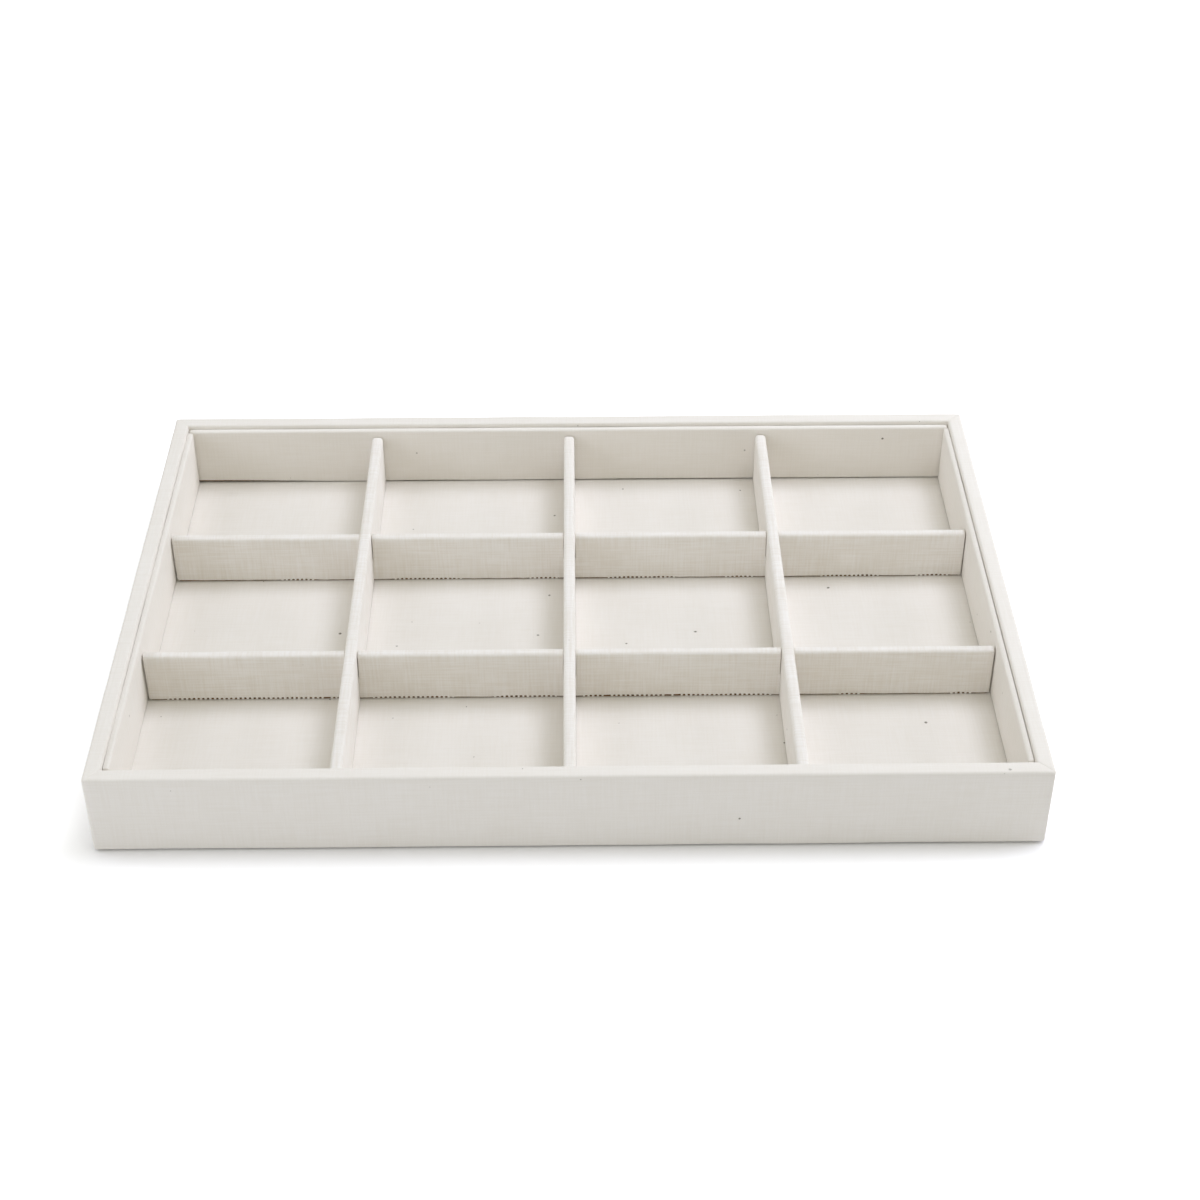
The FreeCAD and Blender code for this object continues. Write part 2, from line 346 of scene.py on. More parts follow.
def make_weave_group():
    """Plain weave of uneven yarn: thread relief, the gaps between threads, streaks and broad patches."""
    group = new_group("linen_weave",
                      [("Flat", "NodeSocketVector"), ("Threads per metre", "NodeSocketFloat"),
                       ("Wander", "NodeSocketFloat")],
                      ["Relief", "Gap", "Streak", "Patch"])
    start, end = add_node(group, "NodeGroupInput"), add_node(group, "NodeGroupOutput")
    flat, count, wander = start.outputs["Flat"], start.outputs["Threads per metre"], start.outputs["Wander"]
    parts = add_node(group, "ShaderNodeSeparateXYZ")
    group.links.new(flat, parts.inputs[0])
    fine, long = WANDER_WAVES
    threads = []
    for axis, scale, label in ((X, (fine, long, 1), "warp wander"), (Y, (long, fine, 1), "weft wander")):
        drift = cloud_node(group, stretched(group, flat, scale), 1.0, 1.0, label)
        shift = sum_node(group, "MULTIPLY", sum_node(group, "SUBTRACT", drift, 0.5), wander)
        place = sum_node(group, "ADD", sum_node(group, "MULTIPLY", parts.outputs[axis], count), shift)
        wave = sum_node(group, "SINE", sum_node(group, "MULTIPLY", place, math.pi))
        threads.append((sum_node(group, "FLOOR", place), sum_node(group, "ABSOLUTE", wave)))
    (warp_number, warp), (weft_number, weft) = threads
    both_numbers = sum_node(group, "ADD", warp_number, weft_number)
    warp_on_top = sum_node(group, "FLOORED_MODULO", both_numbers, 2.0, label="over or under")
    over = sum_node(group, "MULTIPLY", warp, warp_on_top)
    under = sum_node(group, "MULTIPLY", weft, sum_node(group, "SUBTRACT", 1.0, warp_on_top))
    relief = sum_node(group, "ADD", over, under, label="thread relief")
    group.links.new(relief, end.inputs["Relief"])
    higher = sum_node(group, "MAXIMUM", warp, weft)
    gap = sum_node(group, "SUBTRACT", 1.0, higher, label="gap between threads")
    group.links.new(gap, end.inputs["Gap"])
    fine, long = SLUB_WAVES
    weft_slubs = cloud_node(group, stretched(group, flat, (long, fine, 1)), 1.0, 2.0, "weft slubs")
    warp_slubs = cloud_node(group, stretched(group, flat, (fine, long, 1)), 1.0, 2.0, "warp slubs")
    streak = sum_node(group, "MULTIPLY", sum_node(group, "ADD", weft_slubs, warp_slubs), 0.5)
    group.links.new(streak, end.inputs["Streak"])
    group.links.new(cloud_node(group, flat, PATCH_WAVES, 3.0, "broad patches"), end.inputs["Patch"])
    return group


# Curl of a fibre: waves for each metre and their reach.
CURL_WAVES = 900.0
CURL_REACH = 0.7 * MM
# Least size and darkness of a fibre, how much more the largest and darkest have, and its fully dark share.
LEAST_FIBRE, FIBRE_GROWTH = 0.3, 0.8
LEAST_DARKNESS, DARKNESS_GROWTH = 0.4, 0.6
FIBRE_CORE = 0.3


def make_lint_group():
    """Stray dark fibres caught in the cloth, few and small."""
    group = new_group("stray_lint",
                      [("Flat", "NodeSocketVector"), ("Cells per metre", "NodeSocketFloat"),
                       ("Share", "NodeSocketFloat"), ("Size", "NodeSocketFloat")],
                      ["Lint"])
    start, end = add_node(group, "NodeGroupInput"), add_node(group, "NodeGroupOutput")
    curl = add_node(group, "ShaderNodeTexNoise", "curl")
    group.links.new(start.outputs["Flat"], curl.inputs["Vector"])
    curl.inputs["Scale"].default_value = CURL_WAVES
    bend = add_node(group, "ShaderNodeVectorMath", operation="MULTIPLY_ADD")
    group.links.new(curl.outputs["Color"], bend.inputs[0])
    bend.inputs[1].default_value = (CURL_REACH, CURL_REACH, 0)
    group.links.new(start.outputs["Flat"], bend.inputs[2])
    cells = add_node(group, "ShaderNodeTexVoronoi", "one fibre in a cell", voronoi_dimensions="2D")
    group.links.new(bend.outputs[0], cells.inputs["Vector"])
    group.links.new(start.outputs["Cells per metre"], cells.inputs["Scale"])
    chance = add_node(group, "ShaderNodeSeparateColor")
    group.links.new(cells.outputs["Color"], chance.inputs[0])
    chosen = sum_node(group, "LESS_THAN", chance.outputs[0], start.outputs["Share"])
    radius = sum_node(group, "MULTIPLY", start.outputs["Size"], start.outputs["Cells per metre"])
    growth = sum_node(group, "MULTIPLY_ADD", chance.outputs[1], FIBRE_GROWTH, LEAST_FIBRE)
    radius = sum_node(group, "MULTIPLY", radius, growth)
    core = sum_node(group, "MULTIPLY", radius, FIBRE_CORE)
    dot = spread(group, cells.outputs["Distance"], core, radius, 1.0, 0.0)
    darkness = sum_node(group, "MULTIPLY_ADD", chance.outputs[2], DARKNESS_GROWTH, LEAST_DARKNESS)
    mask = sum_node(group, "MULTIPLY", sum_node(group, "MULTIPLY", dot, chosen), darkness)
    group.links.new(mask, end.inputs["Lint"])
    return group


WEAVE = make_weave_group()
LINT = make_lint_group()


# Linen, card and board

THREAD_WANDER = 0.8
LINT_CELLS = 34.0
LINT_SIZE = 0.75 * MM
LINT_COLOUR = srgb(96, 86, 70)
# Colour of the painted shade in the gaps between threads.
PAINTED_GAP_SHADE = srgb(214, 207, 194)
# Shares of streaks and patches in the tone of the yarn, and the tones between which its colour changes.
STREAK_TONE, PATCH_TONE = 0.75, 0.25
YARN_TONES = (0.30, 0.70)
# Roughness in the gaps and on top of the threads.
LINEN_ROUGHNESS = (0.94, 0.82)
THREAD_HEIGHT = 0.6
LINEN_RELIEF_DEPTH = 0.12 * MM
DULL_SPECULAR = 0.2
LINEN_SHEEN, LINEN_SHEEN_ROUGHNESS = 0.08, 0.5


def make_linen(name, light, shade, lint_share, relief=0.3, threads=1900.0, gaps=0.1, offset=(0, 0, 0)):
    """Ivory linen: woven relief, slubby streaks, faint patches, painted shade in the gaps between threads and
    a few stray fibres.
    """
    material, tree, skin = start_material(name)
    flat = add_node(tree, "ShaderNodeUVMap", uv_map="weave")
    shift = add_node(tree, "ShaderNodeMapping")
    tree.links.new(flat.outputs[0], shift.inputs["Vector"])
    shift.inputs["Location"].default_value = offset
    place = shift.outputs[0]
    weave = place_group(tree, WEAVE, Flat=place, Threads_per_metre=threads, Wander=THREAD_WANDER)
    lint = place_group(tree, LINT, Flat=place, Cells_per_metre=LINT_CELLS, Share=lint_share, Size=LINT_SIZE)
    patch = sum_node(tree, "MULTIPLY", weave.outputs["Patch"], PATCH_TONE)
    tone = sum_node(tree, "MULTIPLY_ADD", weave.outputs["Streak"], STREAK_TONE, patch, label="yarn tone")
    colour = blend_colours(tree, spread(tree, tone, *YARN_TONES), light, shade, "yarn colour")
    # Painted shade: the colour darkens in the gaps between threads.
    painted_gap_shade = sum_node(tree, "MULTIPLY", weave.outputs["Gap"], gaps)
    colour = blend_colours(tree, painted_gap_shade, colour, PAINTED_GAP_SHADE, "gaps between threads")
    colour = blend_colours(tree, lint.outputs["Lint"], colour, LINT_COLOUR, "lint colour")
    tree.links.new(colour, skin.inputs["Base Color"])
    roughness = spread(tree, weave.outputs["Relief"], 0.0, 1.0, *LINEN_ROUGHNESS)
    tree.links.new(roughness, skin.inputs["Roughness"])
    height = sum_node(tree, "MULTIPLY_ADD", weave.outputs["Relief"], THREAD_HEIGHT, weave.outputs["Streak"])
    add_bump(tree, skin, height, relief, LINEN_RELIEF_DEPTH)
    skin.inputs["Specular IOR Level"].default_value = DULL_SPECULAR
    skin.inputs["Sheen Weight"].default_value = LINEN_SHEEN
    skin.inputs["Sheen Roughness"].default_value = LINEN_SHEEN_ROUGHNESS
    return material


FIBRE_WAVES = 900.0
FLECK_WAVES = 1700.0
FLECK_TONES = (0.66, 0.74)
FLECK_STRENGTH = 0.4
FLECK_COLOUR = srgb(86, 78, 66)
PLY_WANDER = 2.0
PLY_TONE = 0.25
CARD_TONES = (0.35, 0.85)
FIBRE_TONES = (0.3, 0.7)
CARD_ROUGHNESS = (0.8, 0.95)
CARD_RELIEF = 0.3
CARD_RELIEF_DEPTH = 0.1 * MM


def make_card(name, light, dark, ply_waves):
    """Card or board: short fibres on its faces, and plies that show at its cut edges."""
    material, tree, skin = start_material(name)
    place = add_node(tree, "ShaderNodeTexCoord").outputs["Object"]
    fibres = cloud_node(tree, place, FIBRE_WAVES, 3.0, "fibres")
    flecks = spread(tree, cloud_node(tree, place, FLECK_WAVES, 1.0, "flecks"), *FLECK_TONES)
    plies = add_node(tree, "ShaderNodeTexWave", "plies", wave_type="BANDS", bands_direction="DIAGONAL")
    tree.links.new(place, plies.inputs["Vector"])
    plies.inputs["Scale"].default_value = ply_waves
    plies.inputs["Distortion"].default_value = PLY_WANDER
    tone = sum_node(tree, "MULTIPLY_ADD", plies.outputs["Fac"], PLY_TONE, fibres)
    colour = blend_colours(tree, spread(tree, tone, *CARD_TONES), dark, light)
    colour = blend_colours(tree, sum_node(tree, "MULTIPLY", flecks, FLECK_STRENGTH), colour, FLECK_COLOUR)
    tree.links.new(colour, skin.inputs["Base Color"])
    tree.links.new(spread(tree, fibres, *FIBRE_TONES, *CARD_ROUGHNESS), skin.inputs["Roughness"])
    add_bump(tree, skin, fibres, CARD_RELIEF, CARD_RELIEF_DEPTH)
    skin.inputs["Specular IOR Level"].default_value = DULL_SPECULAR
    return material


IVORY = srgb(243, 239, 233)
IVORY_SHADE = srgb(238, 233, 225)
OUTER_LINEN = make_linen("outer_linen", IVORY, IVORY_SHADE, lint_share=0.36)
LINING_LINEN = make_linen("lining_linen", IVORY, IVORY_SHADE, lint_share=0.36, offset=(0.31, 0.17, 0))
FLOOR_LINEN = make_linen("floor_linen", IVORY, IVORY_SHADE, lint_share=0.34, relief=0.22,
                         offset=(0.73, 0.41, 0))
DIVIDER_LINEN = make_linen("divider_linen", srgb(248, 245, 241), srgb(236, 230, 221), lint_share=0.34,
                           relief=0.5, threads=1700.0, gaps=0.12, offset=(0.57, 0.83, 0))
BACKING_CLOTH = make_linen("backing_cloth", srgb(226, 221, 210), srgb(210, 204, 190), lint_share=0.05,
                           threads=2600.0)
BROWN_CARD = make_card("brown_card", srgb(134, 102, 66), srgb(102, 76, 46), 260.0)
FIBREBOARD = make_card("fibreboard", srgb(178, 150, 116), srgb(146, 118, 86), 420.0)


# Outer linen

RIM = 6 * MM
RIM_RADIUS = 1.1 * MM
INNER_RIM_RADIUS = 0.95 * MM
TURN_IN = 15 * MM
TURN_UNDER = 15 * MM
# Distances between the lines that let linen lie unevenly.
WIDE_PITCH = 4 * MM
WALL_PITCH = 4.5 * MM
NARROW_PITCH = 3 * MM
BACKING_PITCH = 6 * MM
# Mitre crease: its depth, half width and reach over the rim, and the lines beside it in half widths.
CREASE_DEPTH = 0.14 * MM
CREASE_HALF = 0.45 * MM
CREASE_DROP = 1.5 * RIM_RADIUS
CREASE_REACH = 3 * RIM
CREASE_LINES = (-2.2, -1.1, -0.5, 0.5, 1.1, 2.2)
CREASE_LINES_DROP = 2 * RIM_RADIUS
CREASE_LINES_REACH = 2.2 * RIM
# Side strip lapped over the long one: its rise at the mitre, and how far it takes to lie flat.
OVERLAP_RISE = 0.16 * MM
OVERLAP_REACH = 6 * MM


def score_mitres(piece, high):
    """Cuts lines beside the mitre at each corner of the rim."""
    def beside(corner):
        def test(face):
            middle = face.calc_center_median()
            return (middle.z > high.z - CREASE_LINES_DROP
                    and abs(middle.x - corner.x) < CREASE_LINES_REACH
                    and abs(middle.y - corner.y) < CREASE_LINES_REACH)
        return test

    for end in (-1, 1):
        for side in (-1, 1):
            corner = Vector((end * high.x, side * high.y, 0))
            mitre = Vector((end, -side, 0)).normalized()
            for line in CREASE_LINES:
                pick(piece, "FACE", beside(corner))
                place = corner + mitre * line * CREASE_HALF
                bpy.ops.mesh.bisect(plane_co=place, plane_no=mitre, threshold=WELD)


def crease_rim(piece, low, high):
    """Presses a mitre crease into the rim at each corner, with the side strip lapped over the long one."""
    for vertex in piece.data.vertices:
        place = vertex.co
        if place.z < high.z - CREASE_DROP:
            continue
        from_end = min(place.x - low.x, high.x - place.x)
        from_side = min(place.y - low.y, high.y - place.y)
        if max(from_end, from_side) > CREASE_REACH:
            continue
        off_mitre = (from_side - from_end) / math.sqrt(2)
        sink = CREASE_DEPTH * math.exp(-(off_mitre / CREASE_HALF) ** 2)
        rise = OVERLAP_RISE * math.exp(-off_mitre / OVERLAP_REACH) if off_mitre > 0 else 0
        vertex.co.z += rise - sink


def make_outer_linen():
    """One strip round the walls, over the rim, down behind the linings and in under the base."""
    low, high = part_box("outer_wrap")
    piece = start_blank("outer_wrap_linen", low, high)
    pick(piece, "FACE", facing(Z, 1))
    bpy.ops.mesh.inset(thickness=RIM, depth=0)
    bpy.ops.mesh.extrude_region_move(TRANSFORM_OT_translate={"value": (0, 0, -TURN_IN)})
    bpy.ops.mesh.delete(type="FACE")
    pick(piece, "FACE", facing(Z, -1))
    bpy.ops.mesh.inset(thickness=TURN_UNDER, depth=0)
    bpy.ops.mesh.delete(type="FACE")
    bpy.ops.mesh.select_all(action="SELECT")
    bpy.ops.mesh.normals_make_consistent(inside=False)

    def inside(edge):
        middle = (edge.verts[0].co + edge.verts[1].co) / 2
        return abs(middle.x) < high.x - RIM / 2 and abs(middle.y) < high.y - RIM / 2

    round_folds(piece, INNER_RIM_RADIUS, lambda edge: inside(edge) and ends_of(edge, Z)[0] > high.z - NEAR)
    round_folds(piece, RIM_RADIUS, lambda edge: not inside(edge))
    score(X, spaced(low.x, high.x, WIDE_PITCH))
    score(Y, spaced(low.y, high.y, WIDE_PITCH))
    score(Z, spaced(low.z, high.z, WALL_PITCH))
    score_mitres(piece, high)
    bpy.ops.object.mode_set(mode="OBJECT")
    crease_rim(piece, low, high)
    finish_linen(piece, OUTER_LINEN, OUTER_SLACK)
    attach(piece, "tray")
    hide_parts("outer_wrap")


# Floor, linings and base sheet

FLOOR_RADIUS = 0.6 * MM
LINING_RADIUS = 1.1 * MM
# Lift of each lining's linen off the floor, its unevenness, and the waves of that for each metre.
LINING_LIFTS = {"front": 0.35 * MM, "back": 0.62 * MM, "left": 0.25 * MM, "right": 0.4 * MM}
LIFT_UNEVENNESS = 0.45
LIFT_WAVES = 24
# The back lining lifts more towards its left end.
END_LIFT = 1.1
END_LIFT_REACH = 35 * MM
# How far the linen of a lining reaches into the seam between its card and the wall.
SEAM_REACHES = {"front": 0, "back": 0, "left": 0.1 * MM, "right": 0}
BACKING_CORNER = 2 * MM
BACKING_CORNER_SEGMENTS = 4


def make_floor_linen():
    """Floor linen over the top and edges of the floor card."""
    low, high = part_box("floor_cloth")
    piece = start_blank("floor_linen", low, high)
    cut_off(piece, facing(Z, -1))
    round_folds(piece, FLOOR_RADIUS, lambda edge: True, SMALL_FOLD_SEGMENTS)
    score(X, spaced(low.x, high.x, WIDE_PITCH))
    score(Y, spaced(low.y, high.y, WIDE_PITCH))
    finish_linen(piece, FLOOR_LINEN, INNER_SLACK)
    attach(piece, "tray")
    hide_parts("floor_cloth")


def lift_lining(piece, side, low):
    """Lifts the lower edge of a lining off the floor, unevenly."""
    for vertex in piece.data.vertices:
        if vertex.co.z < low.z + NEAR:
            uneven = 1 + LIFT_UNEVENNESS * noise.noise(vertex.co * LIFT_WAVES)
            if side == "back":
                uneven += END_LIFT * math.exp(-((vertex.co.x - low.x) / END_LIFT_REACH) ** 2)
            vertex.co.z += LINING_LIFTS[side] * uneven


def make_lining_linen(side):
    """Lining linen: face, top and ends of its card, open below and at the back towards the wall."""
    node = f"{side}_lining_cloth"
    low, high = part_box(node)
    across = Y if side in ("front", "back") else X
    along = X if across == Y else Y
    inward = 1 if side in ("front", "left") else -1
    piece = start_blank(f"{side}_lining_linen", low, high)
    cut_off(piece, facing(across, -inward))
    round_folds(piece, LINING_RADIUS, lambda edge: ends_of(edge, Z)[1] > low.z + NEAR)
    cut_off(piece, facing(Z, -1, low.z))
    score(along, spaced(low[along], high[along], WIDE_PITCH))
    score(Z, spaced(low.z, high.z, NARROW_PITCH))
    wall = low[across] if inward > 0 else high[across]
    pick(piece, "VERT", lambda vertex: abs(vertex.co[across] - wall) < NEAR)
    towards_wall = Vector((0, 0, 0))
    towards_wall[across] = -inward * SEAM_REACHES[side]
    bpy.ops.transform.translate(value=towards_wall)
    bpy.ops.object.mode_set(mode="OBJECT")
    lift_lining(piece, side, low)
    finish_linen(piece, LINING_LINEN, INNER_SLACK)
    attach(piece, "tray")
    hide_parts(node)


def make_base_backing():
    """Backing cloth under the tray, over the turned-in edges of the outer linen."""
    low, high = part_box("base_sheet")
    piece = start_blank("base_backing", low, high)
    cut_off(piece, lambda face: face.normal.z > -SQUARE_ON)
    pick(piece, "VERT", lambda vertex: True)
    bpy.ops.mesh.bevel(offset=BACKING_CORNER, segments=BACKING_CORNER_SEGMENTS, affect="VERTICES")
    score(X, spaced(low.x, high.x, BACKING_PITCH))
    score(Y, spaced(low.y, high.y, BACKING_PITCH))
    finish_linen(piece, BACKING_CLOTH, NO_SLACK)
    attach(piece, "tray")
    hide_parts("base_sheet")


# Dividers

# Half laps of a divider: their places along it, half their width, their level, and whether they open upwards.
Laps = namedtuple("Laps", "places half level upwards")

DIVIDER_RADIUS = 1.5 * MM
END_RADIUS = 0.5 * MM
DIVIDER_TOP_BAND = 2 * MM
LAP_CLEARANCE = 0.12 * MM
# How far each slit in a cross divider is off the middle of the long divider in it.
LAP_SHIFTS = {"left": 0.1 * MM, "middle": 0, "right": -0.06 * MM}
# Height of the hem where the raw edge is loose, its share where it is sound, and its unevenness.
LONG_HEM = 0.15 * MM
CROSS_HEM = 0.85 * MM
SOUND_HEM = 0.5
HEM_UNEVENNESS = 0.25
HEM_WAVES = 260
LOOSE_END = 4 * MM
# Stretches, in millimetres along each cross divider, where the raw edge of its linen has come loose.
LOOSE_STRETCHES = {
    "front": ((-160, -90), (-79, -46), (-30, -4), (4, 81), (106, 116), (150, 160)),
    "rear": ((-122, -108), (-75, -46), (-18, -4), (16, 46), (66, 78), (106, 132), (146, 162)),
}


def looseness(place, stretches):
    """How far the raw edge has come loose at a place along a divider, from nought to one."""
    inside = [min(place - low * MM, high * MM - place) / LOOSE_END for low, high in stretches]
    return min(1.0, max([0.0, *inside]))


def cut_laps(piece, along, laps):
    """Cuts the half laps of a divider and covers their walls."""
    low_side = laps.level if laps.upwards else -math.inf
    high_side = math.inf if laps.upwards else laps.level
    thick = X if along == Y else Y
    for place in laps.places:
        score(along, (place - laps.half, place + laps.half))
    score(Z, [laps.level])

    def in_lap(face):
        middle = face.calc_center_median()
        return (any(abs(middle[along] - place) < laps.half for place in laps.places)
                and low_side < middle.z < high_side)

    cut_off(piece, in_lap)
    for place in laps.places:
        for wall in (place - laps.half, place + laps.half):
            pick(piece, "EDGE", lambda edge: lies_at(edge, along, wall) and square_to(edge, thick)
                 and ends_of(edge, Z)[0] > low_side - NEAR and ends_of(edge, Z)[1] < high_side + NEAR)
            bpy.ops.mesh.edge_face_add()
        pick(piece, "EDGE", lambda edge: lies_at(edge, Z, laps.level) and square_to(edge, thick)
             and abs(sum(ends_of(edge, along)) / 2 - place) < laps.half - NEAR)
        bpy.ops.mesh.edge_face_add()
    turn_outwards()


def make_divider_linen(name, along, laps, body, hem, stretches=()):
    """Linen folded over a divider: faces, top, ends and the walls of its half laps, open below."""
    low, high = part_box(f"{name}_cloth")
    thick = X if along == Y else Y
    piece = start_blank(f"{name}_linen", low, high)
    cut_laps(piece, along, laps)
    ends = [low[along], high[along]]
    if laps.upwards:
        ends += [place + side * laps.half for place in laps.places for side in (-1, 1)]

    def along_top(edge):
        return ends_of(edge, Z)[0] > high.z - NEAR and square_to(edge, thick)

    def round_end(edge):
        return any(lies_at(edge, along, end) for end in ends) and ends_of(edge, Z)[1] > low.z + NEAR

    round_folds(piece, DIVIDER_RADIUS, along_top)
    round_folds(piece, END_RADIUS, round_end, SMALL_FOLD_SEGMENTS)
    score(along, spaced(low[along], high[along], NARROW_PITCH))
    score(Z, spaced(low.z, high.z - DIVIDER_TOP_BAND, NARROW_PITCH))
    cut_off(piece, facing(Z, -1, low.z))
    bpy.ops.object.mode_set(mode="OBJECT")
    for vertex in piece.data.vertices:
        if vertex.co.z < low.z + NEAR:
            uneven = HEM_UNEVENNESS * noise.noise(vertex.co * HEM_WAVES)
            loose = looseness(vertex.co[along], stretches)
            vertex.co.z += hem * (uneven + SOUND_HEM + (1 - SOUND_HEM) * loose)
    finish_linen(piece, DIVIDER_LINEN, DIVIDER_SLACK)
    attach(piece, body)
    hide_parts(f"{name}_cloth")


# Frayed thread ends

FRAY_PITCH = 1.84 * MM
FRAY_END_GAP = 2 * MM
CROSSING_GAP = 3.5 * MM
TUFT_HALF_WIDTH = 0.5 * MM
TUFT_HALF_DEPTH = 0.15 * MM
TUFT_SIDES = 8
TUFT_SMOOTH_ANGLE = math.radians(60)
# Lines across a tuft, then the depth, width and lean of its lower rings, as shares of its own sizes.
TUFT_LINES = (-0.35, -0.7)
TUFT_RINGS = ((-0.7, 0.92, 0.2), (-1.0, 0.7, 0.7))
RING_NEAR = 0.01
RING_FLATNESS = 0.8
# How far a tuft starts above the hem and inside the face, and how far it ends above the floor.
TUFT_ROOT = 0.35 * MM
TUFT_INSET = 0.12 * MM
TUFT_FLOOR_GAP = 0.03 * MM
# Waves for each metre of a tuft's stray aside and outwards, its width and its wear, and how strong they are.
TUFT_WAVES = (2900, 3700, 4300, 5300)
STRAY_ASIDE = 0.2 * MM
LEAN_ASIDE = 0.15
LEAN_OUTWARDS = 0.1
WIDTH_CHANGE = 0.25
SHORTENING = 0.35
WORN_OFF = -0.55


def start_tuft():
    """One tuft of thread ends, one unit long: flat, narrower and bent outwards at its tip."""
    lay_tools_down()
    bpy.ops.mesh.primitive_cylinder_add(vertices=TUFT_SIDES, radius=1, depth=1, location=(0, 0, -0.5))
    tuft = bpy.context.active_object
    bpy.ops.object.transform_apply(location=True, rotation=True, scale=True)
    bpy.ops.object.mode_set(mode="EDIT")
    bpy.ops.mesh.select_all(action="SELECT")
    bpy.ops.transform.resize(value=(TUFT_HALF_WIDTH, TUFT_HALF_DEPTH, 1))
    score(Z, TUFT_LINES)
    for depth, width, lean in TUFT_RINGS:
        pick(tuft, "VERT", lambda vertex: abs(vertex.co.z - depth) < RING_NEAR)
        bpy.ops.transform.resize(value=(width, RING_FLATNESS * width, 1))
        bpy.ops.transform.translate(value=(0, -lean * TUFT_HALF_DEPTH, 0))
    lay_tools_down()
    return tuft


def tuft_places(low, high, crossings, stretches):
    """Where tufts stand along the two lower edges of a cross divider's linen, and how each one strays."""
    for face, place in ((-1, low.y), (1, high.y)):
        for x in spaced(low.x + FRAY_END_GAP, high.x - FRAY_END_GAP, FRAY_PITCH):
            spot = Vector((x, place, low.z))
            aside, outwards, size, worn = (noise.noise(spot * waves) for waves in TUFT_WAVES)
            crossed = any(abs(x - crossing) < CROSSING_GAP for crossing in crossings)
            if not crossed and worn >= WORN_OFF and looseness(x, stretches):
                yield face, x, place, aside, abs(outwards), size


def make_fray(side, hem, crossings, floor):
    """Tufts of thread ends along the lower edges of a cross divider's linen, in stretches."""
    low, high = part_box(f"{side}_cross_divider_cloth")
    top = low.z + hem + TUFT_ROOT
    tuft = start_tuft()
    copies = []
    for face, x, place, aside, outwards, size in tuft_places(low, high, crossings, LOOSE_STRETCHES[side]):
        length = (top - floor - TUFT_FLOOR_GAP) * (1 - SHORTENING * outwards)
        move = Matrix.Translation((x + STRAY_ASIDE * aside, place - face * TUFT_INSET, top))
        lean_aside = Matrix.Rotation(LEAN_ASIDE * aside, 4, "Y")
        lean_outwards = Matrix.Rotation(face * LEAN_OUTWARDS * outwards, 4, "X")
        about = Matrix.Rotation(math.pi if face > 0 else 0, 4, "Z")
        stretch = Matrix.Diagonal((1 + WIDTH_CHANGE * size, 1, length, 1))
        copy = tuft.copy()
        copy.data = tuft.data.copy()
        copy.data.transform(move @ lean_aside @ lean_outwards @ about @ stretch)
        bpy.context.scene.collection.objects.link(copy)
        copies.append(copy)
    bpy.data.objects.remove(tuft)
    lay_tools_down()
    for copy in copies:
        copy.select_set(True)
    bpy.context.view_layer.objects.active = copies[0]
    bpy.ops.object.join()
    piece = bpy.context.active_object
    piece.name = piece.data.name = f"{side}_cross_divider_fray"
    bpy.ops.object.mode_set(mode="EDIT")
    lay_weave(piece)
    bpy.ops.object.mode_set(mode="OBJECT")
    bpy.ops.object.shade_smooth_by_angle(angle=TUFT_SMOOTH_ANGLE)
    dress(piece, DIVIDER_LINEN)
    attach(piece, CROSS_BODY)
    return piece


# Putting the tray together

def middle_of(node, axis):
    """The middle of a CAD node along an axis."""
    low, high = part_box(node)
    return (low[axis] + high[axis]) / 2


def half_width_of(node, axis):
    """Half the width of a CAD node along an axis."""
    low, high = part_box(node)
    return (high[axis] - low[axis]) / 2


def make_dividers():
    """Three long dividers with slits that face down, over two cross dividers with slits that face up."""
    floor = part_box("floor_cloth")[1].z
    lap_level = (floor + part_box("front_cross_divider_cloth")[1].z) / 2
    long_places = [middle_of(f"{side}_long_divider_cloth", X) for side in LONG_SIDES]
    cross_places = [middle_of(f"{side}_cross_divider_cloth", Y) for side in CROSS_SIDES]
    long_half = half_width_of("front_cross_divider_cloth", Y) + LAP_CLEARANCE
    long_laps = Laps(cross_places, long_half, lap_level + LAP_CLEARANCE, False)
    for side in LONG_SIDES:
        make_divider_linen(f"{side}_long_divider", Y, long_laps, f"{side}_long_divider", LONG_HEM)
    slit_places = [place + LAP_SHIFTS[side] for side, place in zip(LONG_SIDES, long_places)]
    cross_half = half_width_of("middle_long_divider_cloth", X) + LAP_CLEARANCE
    cross_laps = Laps(slit_places, cross_half, lap_level - LAP_CLEARANCE, True)
    for side in CROSS_SIDES:
        thread_ends = make_fray(side, CROSS_HEM, long_places, floor)
        make_divider_linen(f"{side}_cross_divider", X, cross_laps, CROSS_BODY, CROSS_HEM,
                           LOOSE_STRETCHES[side])


make_outer_linen()
make_floor_linen()
for lining_side in LINING_SIDES:
    make_lining_linen(lining_side)
make_base_backing()
make_dividers()
for node_name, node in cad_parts.items():
    if node_name.endswith("_card"):
        dress(node, BROWN_CARD)
    elif node_name.endswith("_board"):
        dress(node, FIBREBOARD)


# Studio

WHITE = (1, 1, 1, 1)
# Strength and colour of the sky as it lights the tray, and the colour of the lamps.
SKY = 0.357
SKY_COLOUR = (1.0, 0.994, 0.789, 1.0)
DAYLIGHT = (0.84, 0.865, 1.0)
# Softboxes: name, place and size in metres, and watts.
SOFTBOXES = (
    ("overhead_softbox", Vector((0.5, 0.3, 1.3)), (0.95, 0.6), 10.6),
    ("right_fill", Vector((1.2, 0.2, 0.5)), (0.6, 0.6), 5.6),
    ("left_fill", Vector((-1.1, 0.1, 0.9)), (0.8, 0.8), 3.9),
    ("left_front_fill", Vector((-0.9, -0.8, 0.6)), (0.8, 0.6), 1.9),
    ("low_front_fill", Vector((-0.5, -1.3, 0.2)), (1.0, 0.3), 2.7),
)
TABLE_SIZE = 12
TABLE_DROP = 0.05 * MM
TABLE_COLOUR = (0.89, 0.885, 0.905, 1)
